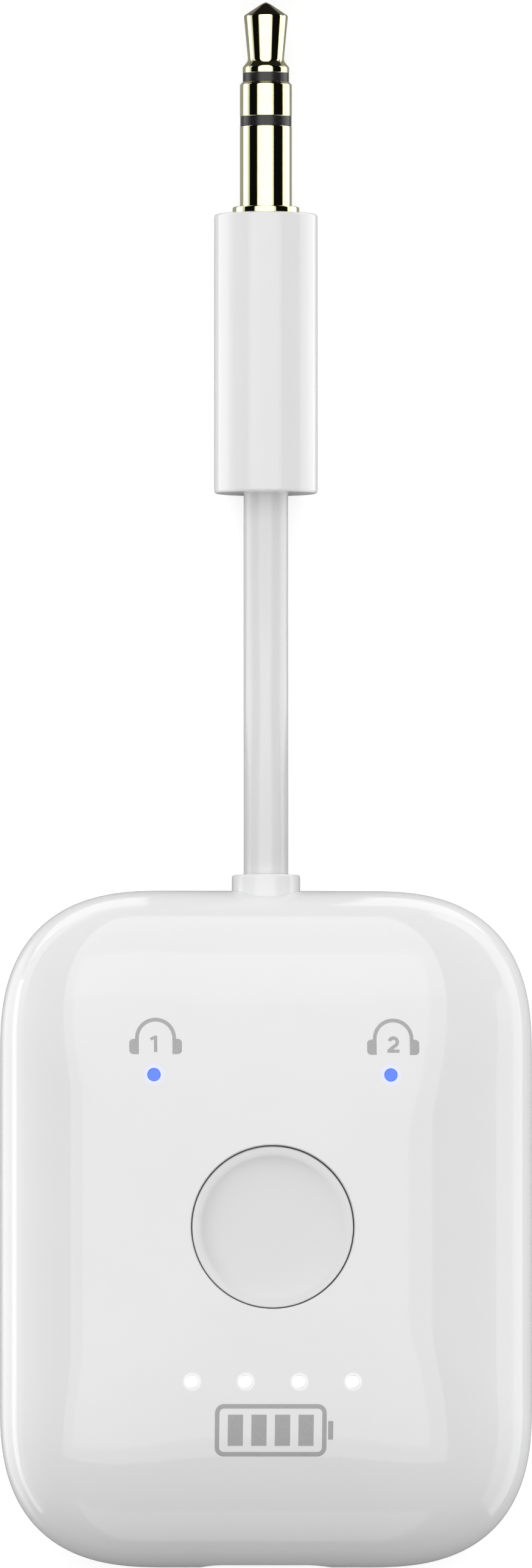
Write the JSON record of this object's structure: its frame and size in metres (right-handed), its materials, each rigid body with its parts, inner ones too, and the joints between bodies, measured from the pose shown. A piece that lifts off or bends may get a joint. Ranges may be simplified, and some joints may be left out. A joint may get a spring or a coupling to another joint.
{
  "type": "bluetooth audio receiver",
  "caption": "Pebble-shaped pocket wireless audio unit with a large dished round button, small status lights, a USB-C charging port and a short captive cable ending in a 3.5 mm plug.",
  "frame": {"origin": "under the middle of the housing, on the flat rear face that it rests on", "axes": "+Z out of the button face, +Y from the charging port towards the cable and plug, +X to the right when the button faces the viewer and the cable points up"},
  "size_m": [0.0358, 0.1057, 0.0154],
  "materials": {
    "white_gloss": "high gloss",
    "barrel_white": "satin gloss",
    "cable_white": "satin",
    "core_ivory": "matte",
    "gold": "polished gold plate",
    "black_plastic": "matte",
    "steel": "satin",
    "board": "solder mask",
    "clear_pipe_blue": "lit blue",
    "clear_pipe_white": "lit white",
    "led_body": "matte",
    "ferrite": "matte",
    "ceramic_white": "glazed",
    "ceramic_tan": "matte",
    "pouch_foil": "satin foil",
    "wire_insulation": "satin",
    "foam": "matte"
  },
  "bodies": {
    "housing": {"front_cover": "white_gloss", "rear_cover": "white_gloss", "status_light_pipe_1": "clear_pipe_blue", "status_light_pipe_2": "clear_pipe_blue", "battery_light_guide": "clear_pipe_white", "status_led_1": "led_body", "status_led_2": "led_body", "battery_leds": "led_body", "main_board": "board", "board_screws": "steel", "switch_base": "black_plastic", "switch_dome": "steel", "switch_lid": "steel", "bluetooth_chip": "black_plastic", "charger_chip": "black_plastic", "crystal": "steel", "power_inductor": "ferrite", "chip_antenna": "ceramic_white", "capacitors": "ceramic_tan", "usb_shell": "steel", "usb_tongue": "black_plastic", "usb_contacts": "gold", "battery_cell": "pouch_foil", "battery_board": "board", "battery_leads": "wire_insulation", "battery_pad": "foam", "cord_collar": "white_gloss", "cable_jacket": "cable_white", "cable_wires": "wire_insulation", "plug_barrel": "barrel_white", "plug_core": "core_ivory", "plug_sleeve": "gold", "plug_rear_insulator": "black_plastic", "plug_ring": "gold", "plug_front_insulator": "black_plastic", "plug_tip": "gold"},
    "button": {"button_cap": "white_gloss"},
    "plunger": {"switch_plunger": "black_plastic"}
  },
  "joints": [
    {"name": "button_press", "type": "slide", "parent": "housing", "child": "button", "axis": [0, 0, -1], "range_m": [0, 0.00025], "stiffness_N_per_m": 3000, "springref_m": -0.0001},
    {"name": "plunger_press", "type": "slide", "parent": "housing", "child": "plunger", "axis": [0, 0, -1], "range_m": [0, 0.00025], "deforming": ["switch_dome"]}
  ],
  "couplings": [
    {"joint": "plunger_press", "follows": "button_press", "ratio": 1}
  ]
}
